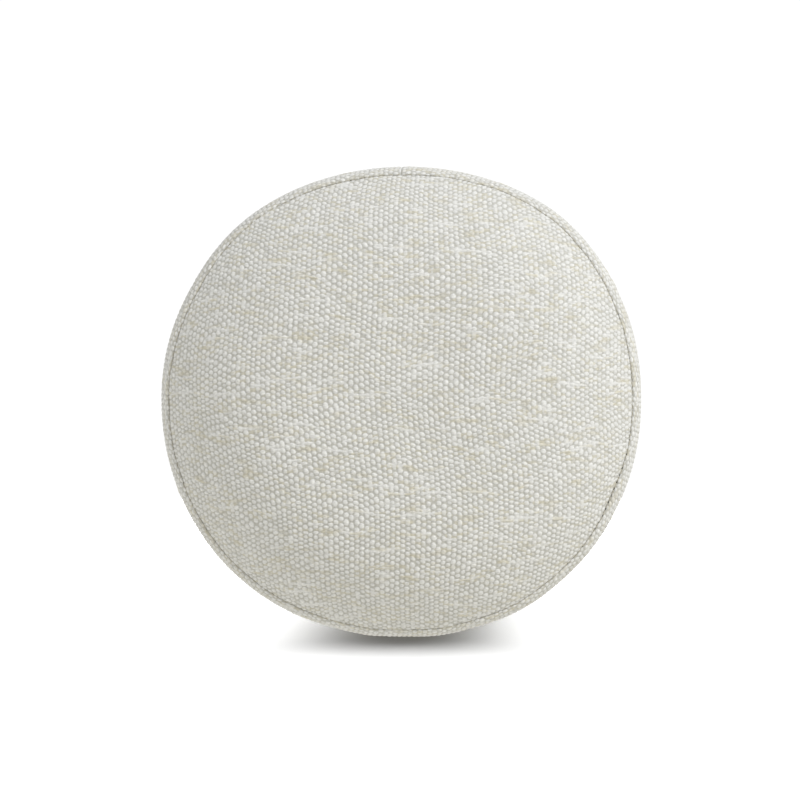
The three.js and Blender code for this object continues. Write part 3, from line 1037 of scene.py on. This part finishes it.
class BolsterStage(bpy.types.Operator):
    """Makes the floor, the soft light and the camera"""

    bl_idname = "bolster.stage"
    bl_label = "Stage"

    def execute(self, context):
        scene = context.scene
        studio = scene.bolster_studio
        cover = cover_sizes()
        front = Vector((0, -cover.half_span, cover.axis_height))
        eye = front + studio.distance * Vector((tan(studio.sideways), -1, tan(studio.above)))
        target = front + Vector((-0.0008, 0.010, 0.0009))
        data = bpy.data.cameras.new("Camera")
        data.sensor_width = 36
        data.lens = 36 * (target - eye).length / studio.view_width
        scene.camera = aimed("Camera", data, eye, target)

        self.light(scene, self.floor(scene))
        scene.view_settings.view_transform = "Standard"
        return {"FINISHED"}

    def floor(self, scene):
        material, tree, shader = new_material("pale floor", 1.0)
        shader.inputs["Specular IOR Level"].default_value = 0.0
        shader.inputs["Base Color"].default_value = (*scene.bolster_colours.floor, 1)
        glow = tree.nodes.new("ShaderNodeEmission")
        glow.inputs["Color"].default_value = (1.0, 0.975, 0.90, 1)
        glow.inputs["Strength"].default_value = scene.bolster_studio.floor_glow
        self.seen_apart(tree, glow, shader, tree.nodes["Material Output"])
        mesh = bpy.data.meshes.new("floor")
        work = bmesh.new()
        bmesh.ops.create_circle(work, cap_ends=True, segments=96, radius=0.9)
        work.to_mesh(mesh)
        work.free()
        mesh.materials.append(material)
        floor = linked("floor", mesh)
        floor.location.z = -0.0002
        return floor

    def seen_apart(self, tree, hidden, seen, output):
        """Shows the camera one shader, and lights the scene with the other."""
        rays = tree.nodes.new("ShaderNodeLightPath")
        either = tree.nodes.new("ShaderNodeMixShader")
        tree.links.new(rays.outputs["Is Camera Ray"], either.inputs[0])
        tree.links.new(hidden.outputs[0], either.inputs[1])
        tree.links.new(seen.outputs[0], either.inputs[2])
        tree.links.new(either.outputs[0], output.inputs["Surface"])

    def light(self, scene, floor):
        world = bpy.data.worlds.new("Soft studio")
        world.use_nodes = True
        tree = world.node_tree
        sky = tree.nodes["Background"]
        seen = tree.nodes.new("ShaderNodeBackground")
        for shader, tint, strength in ((sky, (1.0, 0.99, 0.965, 1), 0.65), (seen, (1, 1, 1, 1), 1.05)):
            shader.inputs["Color"].default_value = tint
            shader.inputs["Strength"].default_value = strength
        self.seen_apart(tree, sky, seen, tree.nodes["World Output"])
        scene.world = world
        key = self.lamp("Key light", (1.5, -1.4, 1.6), (0, -0.25, 0.1), 1.0, 33.0)
        unlit = bpy.data.collections.new("Unlit floor")
        unlit.objects.link(floor)
        key.light_linking.receiver_collection = unlit
        unlit.collection_objects[0].light_linking.link_state = "EXCLUDE"
        left = self.lamp("Left light", (-1.6, -0.15, 0.5), (0, -0.25, 0.1), 1.0, 3.0)
        left.light_linking.receiver_collection = unlit
        lit = bpy.data.collections.new("Lit floor")
        lit.objects.link(floor)
        for name, side in (("Floor light left", -1), ("Floor light right", 1)):
            lamp = self.lamp(name, (1.3 * side, 0.8, 0.75), (0, -0.25, 0), 1.5, 335.0)
            lamp.light_linking.receiver_collection = lit

    def lamp(self, name, place, target, size, power):
        data = bpy.data.lights.new(name, "AREA")
        data.shape = "DISK"
        data.size = size
        data.energy = power
        return aimed(name, data, Vector(place), Vector(target))


class BolsterBarrel(bpy.types.Operator):
    """Makes the barrel of the cover, which rolls into its seams and its zip's slit"""

    bl_idname = "bolster.barrel"
    bl_label = "Barrel cover"

    def execute(self, context):
        piece = finished(barrel_panel(), cover_cloth(), "barrel_panel")
        return {"FINISHED"}


class BolsterEnds(bpy.types.Operator):
    """Makes the two crowned ends of the cover"""

    bl_idname = "bolster.ends"
    bl_label = "End covers"

    def execute(self, context):
        for side, node in ((-1, "front_end_panel"), (1, "rear_end_panel")):
            piece = finished(end_panel(side), cover_cloth(), node)
        return {"FINISHED"}


class BolsterSeams(bpy.types.Operator):
    """Makes the stitches of the cover's seams and the overlocking of its raw edges"""

    bl_idname = "bolster.seams"
    bl_label = "Seams"

    def execute(self, context):
        cover = cover_sizes()
        colours = context.scene.bolster_colours
        thread = plain_material("cover thread", colours.thread, 0.75, 900, depth=0.00005)
        for side, end in ((-1, "front"), (1, "rear")):
            y = side * (cover.half_span - 0.0002)
            seam = ring_stitches(
                end + "_seam_stitches", cover.seam_radius, y, thickness=0.0005, pitch=0.0031
            )
            finished(seam, thread, end + "_seam_thread")
            low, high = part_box(end + "_seam_overlock")
            radius = high.x * cover.radius / BARREL_HIGH.x - 0.0011
            middle = (low.y + high.y) / 2
            edge = ring_stitches(end + "_seam_overlocking", radius, middle, 0.0008, 0.0021, 0.0006)
            finished(edge, thread, end + "_seam_overlock")
            low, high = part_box("barrel_seam_" + end)
            closing = line_stitches("barrel_stitches_" + end, low, high, self.under_cloth, 0.0005, 0.0032)
            finished(closing, thread, "barrel_seam_" + end)
        return {"FINISHED"}

    def under_cloth(self, y):
        """Height of the closing stitches, 1.6 mm under the top of the filled cloth."""
        cover = cover_sizes()
        return settle(swell_radius(cover.half_span - np.abs(y)), pi / 2)[1] - 0.0016


class BolsterZip(bpy.types.Operator):
    """Makes the zip's tapes, coils, stitching, stops, slider and pull"""

    bl_idname = "bolster.zip"
    bl_label = "Zip"

    def execute(self, context):
        colours = context.scene.bolster_colours
        tape = plain_material("zip tape", colours.tape, 0.9, 1500, (0.3, 1.4, 1), 0.00015, sheen=0.1)
        nylon = plain_material("zip coil", colours.coil, 0.42, 900, depth=0.00002)
        thread = plain_material("zip thread", colours.tape, 0.8, 900, depth=0.00005)
        metal = plain_material("zip enamel", colours.metal, 0.34, 700, depth=0.00001, metallic=0.55)
        for label, side in (("left", -1), ("right", 1)):
            low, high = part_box("zip_tape_" + label)
            piece = band("zip_tape_woven_" + label, low, high, 0.003, 0.00006)
            finished(piece, tape, "zip_tape_" + label)
            low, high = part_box("zip_coil_" + label)
            piece = coil("zip_coil_turns_" + label, low, high, side)
            finished(piece, nylon, "zip_coil_" + label)
            low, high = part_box("zip_stitch_" + label)
            height = (low.z + high.z) / 2
            piece = line_stitches(
                "zip_stitches_" + label, low, high, height, thickness=0.0005, pitch=0.0030
            )
            finished(piece, thread, "zip_stitch_" + label)
        for name in ("top_stop_left", "top_stop_right", "bottom_stop", "slider", "pull"):
            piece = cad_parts["zip_" + name]
            coated(piece, metal)
            self.round_edges(piece)
        return {"FINISHED"}

    def round_edges(self, piece):
        bevel = piece.modifiers.new("Worn edges", "BEVEL")
        bevel.width = 0.00018
        bevel.segments = 3
        bevel.limit_method = "ANGLE"
        bevel.angle_limit = radians(40)
        bevel.harden_normals = False


class BolsterInsert(bpy.types.Operator):
    """Makes the insert: its casing, wadding and foam core"""

    bl_idname = "bolster.insert"
    bl_label = "Insert"

    def execute(self, context):
        colours = context.scene.bolster_colours
        casing = plain_material("casing cloth", colours.casing, 0.9, 1200, depth=0.00008, sheen=0.1)
        thread = plain_material("casing thread", colours.casing, 0.8, 900, depth=0.00005)
        wadding = plain_material("wadding", colours.wadding, 1.0, 260, depth=0.0008, sheen=0.3)
        foam = plain_material("foam", colours.foam, 0.95, 900, depth=0.0006)
        finishes = {"casing": (casing, 0.00005), "wadding": (wadding, 0.0003), "foam": (foam, 0.0002)}
        for node, name, levels in (
            ("casing_barrel", "casing_tube", 1),
            ("casing_front", "casing_disc_front", 2),
            ("casing_rear", "casing_disc_rear", 2),
            ("wadding_wrap", "wadding_roll", 2),
            ("wadding_pad_front", "wadding_disc_front", 2),
            ("wadding_pad_rear", "wadding_disc_rear", 2),
            ("foam_core", "foam_roll", 2),
        ):
            slot = node.split("_")[0]
            material, uneven = finishes[slot]
            piece = finished(refined(node, name, levels, uneven), material, node)
        for end in ("front", "rear"):
            low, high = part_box(f"casing_{end}_seam")
            radius = (high.x - 0.00025) * RADIUS / BARREL_HIGH.x
            seam = ring_stitches(f"casing_{end}_stitches", radius, (low.y + high.y) / 2, 0.0004, 0.0030)
            finished(seam, thread, f"casing_{end}_seam")
        low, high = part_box("casing_closing_seam")
        seam = line_stitches("casing_closing_stitches", low, high, (low.z + high.z) / 2, 0.0004, 0.0040)
        finished(seam, thread, "casing_closing_seam")
        return {"FINISHED"}


class BolsterLabel(bpy.types.Operator):
    """Makes the blank label inside the cover"""

    bl_idname = "bolster.label"
    bl_label = "Label"

    def execute(self, context):
        tint = context.scene.bolster_colours.label
        satin = plain_material("label satin", tint, 0.45, 1600, (0.2, 1.5, 1), 0.00005, sheen=0.2)
        low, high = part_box("care_label")
        finished(band("label_satin", low, high, 0.002, 0.00004), satin, "care_label")
        return {"FINISHED"}


STEPS = (
    BolsterStage,
    BolsterBarrel,
    BolsterEnds,
    BolsterSeams,
    BolsterZip,
    BolsterInsert,
    BolsterLabel,
)
SETTINGS = {
    "bolster_cover": BolsterCoverSizes,
    "bolster_weave": BolsterWeaveSizes,
    "bolster_colours": BolsterColours,
    "bolster_studio": BolsterStudio,
}


class BolsterPanel(bpy.types.Panel):
    """Lists the bolster's pieces and their sizes and colours"""

    bl_idname = "VIEW3D_PT_bolster"
    bl_label = "Bolster Pillow"
    bl_space_type = "VIEW_3D"
    bl_region_type = "UI"
    bl_category = "Bolster"

    def draw(self, context):
        for step in STEPS:
            self.layout.operator(step.bl_idname)
        for name in SETTINGS:
            group = getattr(context.scene, name)
            box = self.layout.box()
            for prop in group.bl_rna.properties:
                if prop.identifier not in ("rna_type", "name"):
                    box.prop(group, prop.identifier)


def register():
    for group in (*SETTINGS.values(), *STEPS, BolsterPanel):
        bpy.utils.register_class(group)
    for name, group in SETTINGS.items():
        setattr(bpy.types.Scene, name, PointerProperty(type=group))


def unregister():
    for name in SETTINGS:
        delattr(bpy.types.Scene, name)
    for group in reversed((*SETTINGS.values(), *STEPS, BolsterPanel)):
        bpy.utils.unregister_class(group)


def main():
    register()
    for step in STEPS:
        family, action = step.bl_idname.split(".")
        getattr(getattr(bpy.ops, family), action)()


if __name__ == "__main__":
    main()
